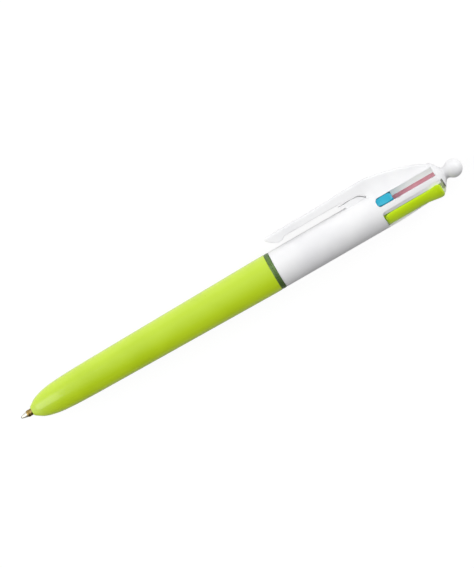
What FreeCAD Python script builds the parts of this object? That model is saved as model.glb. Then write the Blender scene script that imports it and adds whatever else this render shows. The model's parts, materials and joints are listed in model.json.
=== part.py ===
"""Four-colour click pen, lying on its clip, as separate pieces in millimetres.

Every piece is first made upright: +X runs from the nose to the tail along the pen's axis,
+Z points through the clip, and -Y is the side with the turquoise and lime sliders. The
last step rolls the pen about X until barrel and clip both touch the table.
The origin is the centre of the nose's end face.
"""
import FreeCAD, Part
import os
from math import asin, atan, atan2, cos, degrees, hypot, pi, radians, sqrt, tan

Vec = FreeCAD.Vector
ALONG = Vec(1, 0, 0)
ORIGIN = Vec(0, 0, 0)

# Clearances
RUN = 0.06             # turning fit, radial
LOOSE = 0.15           # moulded pieces that slide past each other
SEAT = 0.05            # pieces of one body that sit against each other

# Lower barrel
LOWER_LENGTH = 81.5
BARREL_R = 5.78
GRIP_BAND_LENGTH = 9.5
LOWER_WALL = 1.02      # over the threaded insert
EDGE = 0.2             # rounding of the barrels' end edges
NOSE_LENGTH = 14.5
NOSE_BACK_R = 4.95
NOSE_WALL = 1.05
NOSE_HOLE_LENGTH = 2.2
NOSE_HOLE_GAP = 0.2    # round the pressed tip
NOSE_LIP = 0.2         # flat end face round the hole

# Joint ring and threaded insert
RING_LENGTH = 1.5
RING_SUNK = 0.02       # its crown lies this far under the barrel's surface
RING_CROWN = 0.16
INSERT_WALL = 0.6
SCREWED_LENGTH = 10.0  # reach of the insert into the lower barrel
HELD_LENGTH = 5.5      # reach of the insert into the upper barrel
LEDGE = 0.4            # step in the lower barrel in front of the insert
LEDGE_GAP = 0.4

# Upper barrel; lengths count from the joint ring
UPPER_STEP = 0.08      # the upper barrel is this much slimmer
UPPER_TAPER_START = 38.0
HEAD_WALL = 0.25
HEAD_RIM = 0.45        # from the sliders' bore to the head's end edge
HEAD_EDGE = 0.3
CONE_LENGTH = 1.7
CONE_TIP_R = 2.2
SLOT_START = 34.75
SLOT_LENGTH = 20.15     # the rear ends are cut into the cone
SLOT_ROUND = 1.1
RIB_WIDTH = 1.76
FIN_WIDTH = 1.0
FIN_INNER_R = 1.95
FIN_START = 30.4
CLIP_SLOT_TOP = 3.66   # the slots beside the clip stop at this height above the axis

# Core rod, spring seat and finial
SEAT_THICKNESS = 2.0
ROD_R = 0.7
STOP_DISC = 0.8        # thickness of the disc that stops the sliders
STOP_DISC_R = 3.6
FINIAL_R = 2.79
FINIAL_REACH = 6.15    # from the cone's end to the ball's end
NECK_R = 1.6
PEG_R = 1.0

# Sliders
SLIDER_LENGTH = 18.7
REAR_GAP = 1.3         # open slot behind a waiting slider
SLIDER_PROUD = 0.05    # the long saddle stands this far out of the head
SLIDER_SIDE_GAP = 0.35
SLIDER_LIP = 0.5       # rounding of the front edge
TRAVEL = 13.8
KNOB_HEIGHT = 0.82     # over the head
KNOB_FLANK = 4.7
KNOB_CREST = 1.1
KNOB_DROP = 0.52       # the knob's back edge lies this far under its crest
STEM_LENGTH = 5.0
NUB_LENGTH = 4.0

# Refills
TUBE_R = 1.15
TUBE_WALL = 0.28
BRASS_STEP = 0.1       # the brass holder is this much slimmer than the tube
BRASS_LENGTH = 9.0
BRASS_PLUG = 5.0
BRASS_RIM = 0.2        # brass left round the steel point
POINT_LENGTH = 2.06
POINT_LIP = 0.05
POINT_PLUG = 1.5
WRITING_BALL_R = 0.35
INK_SPACE = 0.9        # air behind the ink
TIP_OUT = 3.9          # the pressed colour's tip stands this far out of the nose
TIP_REST_R = 2.45      # the other tips wait this far from the axis
TIP_CROSSING = 0.5     # the pressed refill crosses the pen's axis at this station

# Springs
WIRE_R = 0.125
SPRING_GAP = 0.085     # between the wire and the refill
SPRING_TURNS = 11

# Clip; lengths count from the joint ring, heights from the barrel's surface
CLIP_START = 1.0
CLIP_UNDERSIDE_GAP = 1.8
CLIP_THICKNESS = 3.0
CLIP_TIP_DROP = 0.6    # the tip's back lies this much lower
CLIP_BUMP = 0.75
CLIP_WIDTH = 5.2
CLIP_TIP_WIDTH = 4.2
CLIP_ROUND = 0.9
CLIP_BEND = 33.8
CLIP_GAP = 0.06
CLIP_FOOT_DEPTH = 1.2  # the canopy's front reaches this far under the barrel's surface
FULCRUM_START = 26.4
FULCRUM_LEAN = 2.0     # the block's front face overhangs forwards
FULCRUM_HEIGHT = 1.25
FULCRUM_WIDTH = 4.4
GROOVE = 0.12
HEEL_BACK = 0.8        # the block ends this far in front of the bend

# Radii that follow, from the barrel inwards
UPPER_R = BARREL_R - UPPER_STEP
INSERT_R = BARREL_R - LOWER_WALL - RUN
INSERT_BORE_R = INSERT_R - INSERT_WALL
UPPER_BORE_R = INSERT_R + SEAT
HEAD_R = UPPER_BORE_R + HEAD_WALL
SLIDER_R = HEAD_R + SLIDER_PROUD
KNOB_R = HEAD_R + KNOB_HEIGHT
CHANNEL_R = SLIDER_R + LOOSE      # track for the sliders under the wall
SOCKET_R = INSERT_BORE_R - TUBE_R - SEAT  # a refill's rear end, from the pen's axis
INK_R = TUBE_R - TUBE_WALL
NUB_R = INK_R - LOOSE
BRASS_R = TUBE_R - BRASS_STEP
POINT_R = BRASS_R - BRASS_RIM
POINT_TIP_R = WRITING_BALL_R + POINT_LIP
NOSE_HOLE_R = BRASS_R + NOSE_HOLE_GAP
NOSE_FACE_R = NOSE_HOLE_R + NOSE_LIP
SPRING_MEAN_R = TUBE_R + SPRING_GAP + WIRE_R
SEAT_HOLE_R = TUBE_R + LOOSE
RIB_HALF = RIB_WIDTH / 2
FIN_HALF = FIN_WIDTH / 2
STEM_R = SOCKET_R / sqrt(2) - FIN_HALF - LOOSE

# Heights of the clip above the pen's axis
CLIP_UNDERSIDE = UPPER_R + CLIP_UNDERSIDE_GAP
CLIP_TOP = CLIP_UNDERSIDE + CLIP_THICKNESS
CLIP_TIP_TOP = CLIP_TOP - CLIP_TIP_DROP
FULCRUM_TOP = UPPER_R + FULCRUM_HEIGHT
REACH = CLIP_TOP       # cutters reach past every surface

# Stations along X, from the nose
UPPER_START = LOWER_LENGTH + RING_LENGTH
TAPER_START = UPPER_START + UPPER_TAPER_START
BEND = UPPER_START + CLIP_BEND
SLOT_FRONT = UPPER_START + SLOT_START
SLOT_REAR = SLOT_FRONT + SLOT_LENGTH
SLIDER_BACK = SLOT_REAR - REAR_GAP
STOP_FRONT = SLIDER_BACK + LOOSE
STOP_BACK = STOP_FRONT + STOP_DISC
HEAD_END = STOP_FRONT + HEAD_RIM
CONE_END = HEAD_END + CONE_LENGTH
SEAT_FRONT = UPPER_START + HELD_LENGTH
SEAT_BACK = SEAT_FRONT + SEAT_THICKNESS
SLIDER_FRONT = SLIDER_BACK - SLIDER_LENGTH
SHOULDER = SLIDER_FRONT - STEM_LENGTH
PIVOT = SHOULDER - NUB_LENGTH / 2  # where a refill swings on its nub
REFILL_LENGTH = PIVOT - TRAVEL + TIP_OUT + NUB_LENGTH / 2

# Colour: side of the pen (-Y or +Y), clip side or far side (+Z or -Z), is it pressed down
COLOURS = {
    "turquoise": (-1, 1, True),
    "lime": (-1, -1, False),
    "pink": (1, 1, False),
    "purple": (1, -1, False),
}


def lying_turn():
    """Roll about X that brings the clip's edge down to the barrel's lowest line."""
    out = CLIP_WIDTH / 2 - CLIP_ROUND
    up = CLIP_TOP - CLIP_ROUND
    below = degrees(asin((BARREL_R - CLIP_ROUND) / hypot(out, up)) - atan2(out, up))
    return -(90 + below)


# Basic shapes

def bar(x0, x1, radius):
    """Round bar on the pen's axis."""
    return Part.makeCylinder(radius, x1 - x0, Vec(x0, 0, 0), ALONG)


def pipe(x0, x1, outer, inner):
    return bar(x0, x1, outer).cut(bar(x0 - 1, x1 + 1, inner))


def path(*points):
    """Straight edges through (x, height) points."""
    spots = [Vec(x, 0, z) for x, z in points]
    return [Part.makeLine(a, b) for a, b in zip(spots, spots[1:])]


def curve(*points):
    """One smooth edge through (x, height) points."""
    spline = Part.BSplineCurve()
    spline.interpolate([Vec(x, 0, z) for x, z in points])
    return [spline.toShape()]


def closed_face(edges):
    wire = Part.Wire(edges)
    ends = wire.OrderedVertexes
    return Part.Face(Part.Wire(edges + [Part.makeLine(ends[-1].Point, ends[0].Point)]))


def turned(edges):
    """Solid of revolution about X from edges that start and end on the axis."""
    return closed_face(edges).revolve(ORIGIN, ALONG, 360)


def block(x0, x1, y0, y1, z0, z1):
    return Part.makeBox(x1 - x0, y1 - y0, z1 - z0, Vec(x0, y0, z0))


def quarter(x0, x1, clear, side, level, high=REACH, rounding=0.0):
    """Block in one quarter of the section, `clear` away from the planes between quarters."""
    body = block(x0, x1, clear, REACH, clear, high)
    if rounding:
        front = [e for e in body.Edges if e.BoundBox.XMax < x0 + rounding / 10]
        body = body.makeFillet(rounding, [e for e in front if on_wall(e, clear, high)])
    if side < 0:
        body = body.mirror(ORIGIN, Vec(0, 1, 0))
    if level < 0:
        body = body.mirror(ORIGIN, Vec(0, 0, 1))
    return body


def on_wall(edge, clear, high):
    """True for a front edge of a slot cutter that crosses the barrel's wall."""
    box = edge.BoundBox
    beside_rib = box.YMax < clear + 0.01 or box.ZMax < clear + 0.01
    under_clip = high < REACH and box.ZMin > high - 0.01
    return beside_rib or under_clip


def slot_top(level, gap=0.0):
    """Highest point of a slot, or of what slides in it."""
    return CLIP_SLOT_TOP - gap if level > 0 else REACH


# Barrels

def bullet(x0, r0, x1, r1):
    """Points of a blunt nose outline that widens from r0 to r1."""
    shares = [0, 0.15, 0.39, 0.66, 1]
    return [(x0 + (x1 - x0) * u, r0 + (r1 - r0) * (1 - (1 - u) ** 2) ** (2 / 3)) for u in shares]


def lower_barrel():
    grip = LOWER_LENGTH - GRIP_BAND_LENGTH
    nose = bullet(0, NOSE_FACE_R, NOSE_LENGTH, NOSE_BACK_R)
    outer = path((0, 0), nose[0])
    outer += curve(*nose)
    outer += path(nose[-1], (grip, BARREL_R), (LOWER_LENGTH - EDGE, BARREL_R),
                  (LOWER_LENGTH, BARREL_R - EDGE), (LOWER_LENGTH, 0))
    hollow_back = LOWER_LENGTH - SCREWED_LENGTH - LEDGE_GAP
    cavity_nose = bullet(NOSE_HOLE_LENGTH, NOSE_HOLE_R, NOSE_LENGTH, NOSE_BACK_R - NOSE_WALL)
    cavity = path((NOSE_HOLE_LENGTH, 0), cavity_nose[0])
    cavity += curve(*cavity_nose)
    cavity += path(cavity_nose[-1], (hollow_back, INSERT_R - LEDGE), (hollow_back, 0))
    body = turned(outer).cut(turned(cavity))
    body = body.cut(bar(-1, NOSE_HOLE_LENGTH + 0.5, NOSE_HOLE_R))
    return body.cut(bar(hollow_back - 0.01, LOWER_LENGTH + 1, INSERT_R + RUN))


def threaded_insert():
    return pipe(LOWER_LENGTH - SCREWED_LENGTH, SEAT_FRONT, INSERT_R, INSERT_BORE_R)


def joint_ring():
    """Polished ring with a slightly crowned outside."""
    front = LOWER_LENGTH + SEAT / 2
    back = UPPER_START - SEAT / 2
    crown = BARREL_R - RING_SUNK
    edge = crown - RING_CROWN
    edges = path((front, 0), (front, edge))
    edges += curve((front, edge), ((front + back) / 2, crown), (back, edge))
    edges += path((back, edge), (back, 0))
    return turned(edges).cut(bar(front - 1, back + 1, INSERT_R + SEAT))


def upper_outline():
    """Outer skin of the upper barrel as a full solid of revolution."""
    length = HEAD_END - HEAD_EDGE - TAPER_START

    def taper(along, drop):
        return (TAPER_START + along * length, UPPER_R - drop * (UPPER_R - HEAD_R))

    edges = path((UPPER_START, 0), (UPPER_START, UPPER_R - EDGE),
                 (UPPER_START + EDGE, UPPER_R), taper(0, 0))
    edges += curve(taper(0, 0), taper(0.36, 0.4), taper(0.72, 0.89), taper(1, 1))
    edges += path(taper(1, 1), (HEAD_END, HEAD_R - HEAD_EDGE), (CONE_END, CONE_TIP_R),
                  (CONE_END, 0))
    return turned(edges)


def upper_barrel():
    body = upper_outline().cut(bar(UPPER_START - 1, STOP_FRONT, UPPER_BORE_R))
    body = body.cut(bar(STOP_FRONT - 1, STOP_BACK, STOP_DISC_R + SEAT))
    channel_front = SLIDER_FRONT - TRAVEL - LOOSE
    for side, level, _ in COLOURS.values():
        track = quarter(channel_front, SLOT_FRONT + 1, RIB_HALF, side, level, slot_top(level))
        body = body.cut(track.common(bar(channel_front, SLOT_FRONT + 1, CHANNEL_R)))
        slot = quarter(SLOT_FRONT, SLOT_REAR, RIB_HALF, side, level, slot_top(level), SLOT_ROUND)
        body = body.cut(slot)
    fin_front = UPPER_START + FIN_START
    for turn in range(4):
        fin = block(fin_front, STOP_FRONT - SEAT, -FIN_HALF, FIN_HALF,
                    FIN_INNER_R, UPPER_BORE_R + SEAT)
        body = body.fuse(fin.rotate(ORIGIN, ALONG, 90 * turn))
    body = body.fuse(clip_fulcrum())
    return body.cut(bar(STOP_BACK - 0.1, CONE_END + 1, PEG_R + SEAT / 2)).removeSplitter()


def heel(gap):
    """Points of the curve that the clip bends over, `gap` away from the block.

    The gap widens downwards, because there an opened clip swings forwards.
    """
    spots = [(BEND - 3.4, FULCRUM_TOP - 0.05, 1.0), (BEND - 2.2, FULCRUM_TOP - 0.45, 2.0),
             (BEND - 1.3, FULCRUM_TOP - 1.15, 3.4)]
    return [(x + 0.7 * gap * wide, z + 0.8 * gap * wide) for x, z, wide in spots]


def clip_fulcrum():
    """Block on the barrel that the clip bends over."""
    front = UPPER_START + FULCRUM_START
    base = UPPER_R - LEDGE
    top = (front - FULCRUM_LEAN + EDGE, FULCRUM_TOP)
    root = (BEND - HEEL_BACK, base)
    edges = path((front, base), (front, UPPER_R), (front - FULCRUM_LEAN, FULCRUM_TOP - EDGE), top)
    edges += curve(top, *heel(0), root)
    face = closed_face(edges)
    face.translate(Vec(0, -FULCRUM_WIDTH / 2, 0))
    return face.extrude(Vec(0, FULCRUM_WIDTH, 0))


# Clip

def clip_arm():
    front = UPPER_START + CLIP_START
    back = BEND - CLIP_GAP
    tip = CLIP_TIP_WIDTH / 2
    root = CLIP_WIDTH / 2
    foot = UPPER_R
    sections = [
        (front, CLIP_TIP_TOP - 0.7, tip - 0.6),
        (front + 0.4, CLIP_TIP_TOP - 0.25, tip - 0.25),
        (front + 1.4, CLIP_TIP_TOP, tip),
        (front + 12, CLIP_TIP_TOP + 0.1, tip + 0.1),
        (BEND - 13, CLIP_TIP_TOP + 0.2, (tip + root) / 2),
        (BEND - 8, CLIP_TOP - 0.12, root - 0.15),
        (back, CLIP_TOP, root),
    ]
    wires = [arch(x, crest, half, foot, half) for x, crest, half in sections]
    arm = Part.makeLoft(wires, True, True)
    return arm.cut(below_arm(front, back))


def below_arm(front, back):
    """Everything under the clip's arm: the pocket gap, the contact bump and the groove."""
    bump = CLIP_UNDERSIDE - CLIP_BUMP
    foot = UPPER_R + GROOVE
    heel_back = (BEND - HEEL_BACK + 0.15, foot)
    heel_front = (UPPER_START + FULCRUM_START - FULCRUM_LEAN, CLIP_UNDERSIDE)
    tip_under = (front, CLIP_TIP_TOP - 0.9)
    edges = path((back + 1, 0), (back + 1, foot), heel_back)
    edges += curve(heel_back, *reversed(heel(GROOVE)))
    edges += path(heel(GROOVE)[0], (heel_front[0] + 2, FULCRUM_TOP + GROOVE), heel_front,
                  (front + 6, CLIP_UNDERSIDE))
    edges += curve((front + 6, CLIP_UNDERSIDE), (front + 4.8, bump + 0.06), (front + 4, bump),
                   (front + 3.1, bump + 0.08), (front + 1.7, CLIP_UNDERSIDE + 0.1), tip_under)
    edges += path(tip_under, (front - 1, tip_under[1]), (front - 1, 0))
    face = closed_face(edges)
    face.translate(Vec(0, -REACH, 0))
    return face.extrude(Vec(0, 2 * REACH, 0))


def arch(x, crest, crest_half, foot, foot_half):
    """Rounded arch across the pen: foot corners, sloping sides, round shoulders, crest."""
    soft = min(CLIP_ROUND, 0.45 * (crest - foot))
    spots = [Vec(x, -foot_half, foot), Vec(x, -crest_half, crest - soft)]
    top = [Vec(x, -crest_half + soft, crest), Vec(x, crest_half - soft, crest)]
    far = [Vec(x, crest_half, crest - soft), Vec(x, foot_half, foot)]
    turn = soft * (1 - cos(pi / 4))
    near_mid = Vec(x, -crest_half + turn, crest - turn)
    far_mid = Vec(x, crest_half - turn, crest - turn)
    edges = [Part.makeLine(spots[0], spots[1]), Part.Arc(spots[1], near_mid, top[0]).toShape(),
             Part.makeLine(top[0], top[1]), Part.Arc(top[1], far_mid, far[0]).toShape(),
             Part.makeLine(far[0], far[1]), Part.makeLine(far[1], spots[0])]
    return Part.Wire(edges)


def clip_root():
    """Canopy that carries the clip and covers the upper edge of the two slots beside it."""
    half = CLIP_WIDTH / 2
    length = HEAD_END - HEAD_EDGE - BEND
    drop = CLIP_TOP - CLIP_SLOT_TOP
    # Shares of the length and of the drop, then the crest and the foot as shares of the half width
    outline = [(0.15, 0.05, 1.0, 1.65), (0.3, 0.125, 1.0, 1.63), (0.45, 0.24, 0.99, 1.57),
               (0.6, 0.36, 0.97, 1.47), (0.72, 0.48, 0.95, 1.38), (0.84, 0.61, 0.92, 1.33),
               (0.95, 0.79, 0.83, 1.24), (1, 0.86, 0.77, 1.19)]
    front_foot = UPPER_R - CLIP_FOOT_DEPTH
    wires = [arch(BEND, CLIP_TOP, half, front_foot, outline[-1][-1] * half)]
    for x, fallen, crest, foot in outline:
        wires.append(arch(BEND + x * length, CLIP_TOP - fallen * drop, crest * half,
                          CLIP_SLOT_TOP, foot * half))
    body = Part.makeLoft(wires, True, True)
    return body.cut(upper_outline())


# Core

def spring_seat():
    """Disc with a hole for each refill; the springs bear on its back."""
    body = pipe(SEAT_FRONT, SEAT_BACK, INSERT_R, ROD_R + SEAT)
    middle = (SEAT_FRONT + SEAT_BACK) / 2
    pitch = (refill_height(middle, False) + refill_height(middle, True)) / 2
    for side, level, _ in COLOURS.values():
        hole = Part.makeCylinder(SEAT_HOLE_R, SEAT_THICKNESS + 2,
                                 Vec(SEAT_FRONT - 1, 0, pitch), ALONG)
        body = body.cut(hole.rotate(ORIGIN, ALONG, slider_turn(side, level)))
    return body


def core_rod():
    """Rod between the sliders with the disc that stops them at the tail."""
    disc = bar(STOP_FRONT, STOP_BACK, STOP_DISC_R)
    return bar(SEAT_FRONT, STOP_BACK, ROD_R).fuse(disc).removeSplitter()


def ball_finial():
    centre = CONE_END + FINIAL_REACH - FINIAL_R
    ball = Part.makeSphere(FINIAL_R, Vec(centre, 0, 0))
    neck = bar(CONE_END, centre, NECK_R)
    return ball.fuse(neck).fuse(bar(STOP_BACK, centre, PEG_R)).removeSplitter()


# Sliders and refills

def slider_turn(side, level):
    """Turn about X that brings +Z to the slider's own direction."""
    return {(-1, 1): 45, (-1, -1): 135, (1, 1): -45, (1, -1): -135}[side, level]


def slider(side, level):
    """Thumb slider in its waiting place, with its stem and the nub for the refill."""
    inner = quarter(SLIDER_FRONT, SLIDER_BACK, FIN_HALF + LOOSE, side, level)
    body = inner.common(bar(SLIDER_FRONT, SLIDER_BACK, UPPER_BORE_R - LOOSE))
    clear = RIB_HALF + SLIDER_SIDE_GAP
    top = slot_top(level, LOOSE)
    outer = quarter(SLIDER_FRONT, SLIDER_BACK, clear, side, level, top)
    body = body.fuse(outer.common(slider_outline()))
    stem = Part.makeCylinder(STEM_R, STEM_LENGTH + 0.5, Vec(SHOULDER, 0, SOCKET_R), ALONG)
    nub = Part.makeCylinder(NUB_R, NUB_LENGTH + 0.5, Vec(SHOULDER - NUB_LENGTH, 0, SOCKET_R),
                            ALONG)
    handle = stem.fuse(nub).rotate(ORIGIN, ALONG, slider_turn(side, level))
    return body.fuse(handle).removeSplitter()


def slider_outline():
    """Thumb surface as a solid of revolution: a long saddle and a raised knob."""
    flank = SLIDER_BACK - KNOB_FLANK
    crest = SLIDER_BACK - KNOB_CREST
    lip = SLIDER_FRONT + 2 * SLIDER_LIP
    knob_back = KNOB_R - KNOB_DROP
    edges = path((SLIDER_FRONT, 0), (SLIDER_FRONT, SLIDER_R - SLIDER_LIP))
    edges += curve((SLIDER_FRONT, SLIDER_R - SLIDER_LIP),
                   (SLIDER_FRONT + 0.6 * SLIDER_LIP, SLIDER_R - 0.24 * SLIDER_LIP), (lip, SLIDER_R))
    edges += path((lip, SLIDER_R), (flank, SLIDER_R))
    edges += curve((flank, SLIDER_R), (flank + (crest - flank) / 3, SLIDER_R + 0.17),
                   (crest, KNOB_R), (SLIDER_BACK - 0.25, KNOB_R - 0.15), (SLIDER_BACK, knob_back))
    edges += path((SLIDER_BACK, knob_back), (SLIDER_BACK, 0))
    return turned(edges)


def refill_tilt(pressed):
    """Angle between a refill and the pen's axis, in degrees."""
    if pressed:
        return degrees(atan(SOCKET_R / (PIVOT - TRAVEL - TIP_CROSSING)))
    return degrees(atan((SOCKET_R - TIP_REST_R) / (REFILL_LENGTH - NUB_LENGTH / 2)))


def refill_height(station, pressed):
    """Distance of a refill's centre line from the pen's axis at a station along X."""
    ahead = PIVOT - TRAVEL * pressed - station
    return SOCKET_R - ahead * tan(radians(refill_tilt(pressed)))


def seat_refill(piece, side, level, pressed):
    """Place a piece made along +X from the tip's end at its slider's nub."""
    piece.translate(Vec(-(REFILL_LENGTH - NUB_LENGTH / 2), 0, 0))
    piece.rotate(ORIGIN, Vec(0, 1, 0), -refill_tilt(pressed))
    piece.translate(Vec(PIVOT - TRAVEL * pressed, 0, SOCKET_R))
    return piece.rotate(ORIGIN, ALONG, slider_turn(side, level))


def writing_ball():
    return Part.makeSphere(WRITING_BALL_R, Vec(WRITING_BALL_R, 0, 0))


def point_cone():
    """Steel point with a cup for the ball and a plug in the brass holder."""
    back = POINT_LENGTH + POINT_PLUG
    edges = path((WRITING_BALL_R, 0), (WRITING_BALL_R, POINT_TIP_R), (POINT_LENGTH, POINT_R),
                 (back, POINT_R), (back, 0))
    cup = Part.makeSphere(WRITING_BALL_R + SEAT / 2, Vec(WRITING_BALL_R, 0, 0))
    return turned(edges).cut(cup)


def tip_holder():
    """Brass holder: round front edge, full body, and a plug inside the tube."""
    front = POINT_LENGTH
    body_end = front + BRASS_LENGTH
    plug_end = body_end + BRASS_PLUG
    edges = path((front, 0), (front, POINT_R + SEAT), (front + 2 * BRASS_RIM, BRASS_R),
                 (body_end, BRASS_R))
    edges += path((body_end, BRASS_R), (body_end, INK_R),
                  (plug_end, INK_R), (plug_end, 0))
    bore = bar(front - 1, front + POINT_PLUG + SEAT, POINT_R + SEAT / 4)
    return turned(edges).cut(bore)


def refill_tube():
    start = POINT_LENGTH + BRASS_LENGTH + SEAT
    return pipe(start, REFILL_LENGTH - 0.1, TUBE_R, INK_R + SEAT / 4)


def ink():
    start = POINT_LENGTH + BRASS_LENGTH + BRASS_PLUG + SEAT
    return bar(start, REFILL_LENGTH - NUB_LENGTH - INK_SPACE, INK_R)


def spring(pressed):
    """Return spring round the refill, from the seat's back to the slider's shoulder."""
    front = SEAT_BACK + WIRE_R + SEAT
    back = SHOULDER - TRAVEL * pressed - WIRE_R - SEAT
    lift = (back - front) / SPRING_TURNS
    coil = Part.makeHelix(lift, back - front, SPRING_MEAN_R)
    loop = Part.Wire(Part.makeCircle(WIRE_R, Vec(SPRING_MEAN_R, 0, 0), Vec(0, 1, 0)))
    body = Part.Wire(coil).makePipeShell([loop], True, True)
    body.rotate(ORIGIN, Vec(0, 1, 0), 90)
    behind = PIVOT - TRAVEL * pressed - front
    body.translate(Vec(REFILL_LENGTH - NUB_LENGTH / 2 - behind, 0, 0))
    return body


def pieces():
    """Every piece by name, still upright."""
    made = {
        "lower_barrel": lower_barrel(),
        "joint_ring": joint_ring(),
        "threaded_insert": threaded_insert(),
        "upper_barrel": upper_barrel(),
        "clip_root": clip_root(),
        "clip_arm": clip_arm(),
        "spring_seat": spring_seat(),
        "core_rod": core_rod(),
        "ball_finial": ball_finial(),
    }
    for colour, (side, level, pressed) in COLOURS.items():
        button = slider(side, level)
        button.translate(Vec(-TRAVEL * pressed, 0, 0))
        made["slider_" + colour] = button
        along_refill = {
            "refill_tube": refill_tube(), "ink": ink(), "tip_holder": tip_holder(),
            "point_cone": point_cone(), "writing_ball": writing_ball(),
            "spring": spring(pressed),
        }
        for name, piece in along_refill.items():
            made[name + "_" + colour] = seat_refill(piece, side, level, pressed)
    return made


os.makedirs("parts", exist_ok=True)
for name, piece in pieces().items():
    if len(piece.Solids) == 1:
        piece = piece.Solids[0]
    print(name, piece.ShapeType, piece.isValid(), round(piece.Volume, 2))
    piece.rotate(ORIGIN, ALONG, lying_turn())
    piece.exportStep("parts/" + name + ".step")
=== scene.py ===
# %% [markdown]
# # A four-colour click pen
# The pen lies on a table: a lime barrel, a metal ring, a white upper half with a moulded
# clip, four thumb sliders and a small ball at the end. The pieces that carry and move
# things come from the CAD frame. This script gives them their finish, and models again the
# pieces whose soft rounded shape matters most to the eye.

# %% Load the frame
import json
import math

import bmesh
import bpy
from mathutils import Matrix, Vector
from mathutils.bvhtree import BVHTree


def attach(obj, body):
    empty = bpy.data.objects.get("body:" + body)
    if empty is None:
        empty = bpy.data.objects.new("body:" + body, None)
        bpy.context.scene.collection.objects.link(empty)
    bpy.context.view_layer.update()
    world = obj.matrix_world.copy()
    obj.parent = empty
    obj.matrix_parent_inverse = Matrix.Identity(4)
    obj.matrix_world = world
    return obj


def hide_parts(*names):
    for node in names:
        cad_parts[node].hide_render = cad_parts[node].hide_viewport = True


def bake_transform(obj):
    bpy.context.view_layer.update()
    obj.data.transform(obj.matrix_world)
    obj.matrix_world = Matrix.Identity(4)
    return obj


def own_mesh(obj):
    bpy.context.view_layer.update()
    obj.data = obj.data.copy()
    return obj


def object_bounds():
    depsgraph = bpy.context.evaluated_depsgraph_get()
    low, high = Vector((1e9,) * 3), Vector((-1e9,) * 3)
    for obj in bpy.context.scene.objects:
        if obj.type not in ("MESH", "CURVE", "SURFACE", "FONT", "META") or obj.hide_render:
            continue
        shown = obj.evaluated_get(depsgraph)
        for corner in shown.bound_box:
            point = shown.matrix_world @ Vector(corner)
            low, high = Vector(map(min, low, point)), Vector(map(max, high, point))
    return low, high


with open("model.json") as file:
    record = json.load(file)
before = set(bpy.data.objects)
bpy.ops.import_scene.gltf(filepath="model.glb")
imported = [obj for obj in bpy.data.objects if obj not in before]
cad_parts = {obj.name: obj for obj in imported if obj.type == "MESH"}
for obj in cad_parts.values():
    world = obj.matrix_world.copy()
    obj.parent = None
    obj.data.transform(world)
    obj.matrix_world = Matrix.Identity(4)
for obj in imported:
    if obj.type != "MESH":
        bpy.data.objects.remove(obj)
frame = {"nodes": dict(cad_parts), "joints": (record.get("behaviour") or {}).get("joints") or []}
nodes = frame["nodes"]
joints = {joint["name"]: joint for joint in frame["joints"]}
cad_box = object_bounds()
scene = bpy.context.scene

# %% [markdown]
# ## The pen's own directions
# The pen lies along X, nose towards -X, but it is rolled so that its clip touches the
# table. It is easier to think upright: x along the pen, z out through the clip, and y away
# from the viewer. The clip joint's axis lies across the pen, so it tells how far the pen
# is rolled. One matrix, `PEN`, then turns upright millimetres into the frame's metres.

# %% Directions of the rolled pen
MM = 0.001
along = Vector((1, 0, 0))
away = Vector(joints["clip_flex"]["axis"]).normalized()
side = -away
out = side.cross(along).normalized()
axis_mid = Vector(joints["barrel_turn"]["pos_m"])
turning = (Matrix((along, away, out)).transposed() * MM).to_4x4()
PEN = Matrix.Translation(axis_mid) @ turning
UPRIGHT = PEN.inverted()


def reach(node):
    """Lowest and highest corner of a CAD node, upright and in millimetres."""
    spots = [UPRIGHT @ vert.co for vert in nodes[node].data.vertices]
    low = Vector([min(spot[i] for spot in spots) for i in range(3)])
    high = Vector([max(spot[i] for spot in spots) for i in range(3)])
    return low, high


print("clip points towards", [round(v, 3) for v in out])

# %% [markdown]
# ## Sizes read from the frame
# Lengths and radii that the CAD already knows are measured on its nodes, so a changed pen
# brings its looks along.

# %% Stations and radii
NOSE_X = reach("lower_barrel")[0].x
LOWER_END = reach("lower_barrel")[1].x
BARREL_R = reach("lower_barrel")[1].z
RING_FRONT, RING_BACK = (corner.x for corner in reach("joint_ring"))
RING_R = reach("joint_ring")[1].y
INSERT_FRONT, INSERT_BACK = (corner.x for corner in reach("threaded_insert"))
INSERT_R = reach("threaded_insert")[1].y
UPPER_FRONT = reach("upper_barrel")[0].x
UPPER_R = reach("upper_barrel")[1].y
CONE_END = reach("upper_barrel")[1].x
CLIP_FRONT = reach("clip_arm")[0].x
CLIP_TOP = reach("clip_arm")[1].z
BEND = (UPRIGHT @ Vector(joints["clip_flex"]["pos_m"])).x
CANOPY_END = reach("clip_root")[1].x
BALL_END = reach("ball_finial")[1].x
BALL_R = reach("ball_finial")[1].y
SLIDER_BACK = reach("slider_lime")[1].x
print("pen length", round(BALL_END - NOSE_X, 2), "mm, barrel", round(2 * BARREL_R, 2), "mm")

# %% [markdown]
# ## Camera
# The pen is seen from the side, its tail up and to the right, thirty degrees off the
# level. A long lens far away keeps the barrel's two edges parallel, as in a catalogue
# picture. The tail is a few degrees nearer than the nose, and the pen is rolled by two
# degrees, so the rib between the sliders sits just below the middle of the barrel.

# %% Camera
VIEW_HEIGHT = 166.25      # millimetres of pen that fill the picture's height
RISE = math.radians(30.02)
TOWARDS = math.radians(3.0)
ROLL = math.radians(2.0)
CAMERA_FAR = 1.6
AIM_X = 43.39             # station on the axis that the framing starts from
AIM_RIGHT = 22.444        # and how far the middle of the view lies from it
AIM_UP = 15.586
SENSOR = 24

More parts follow.
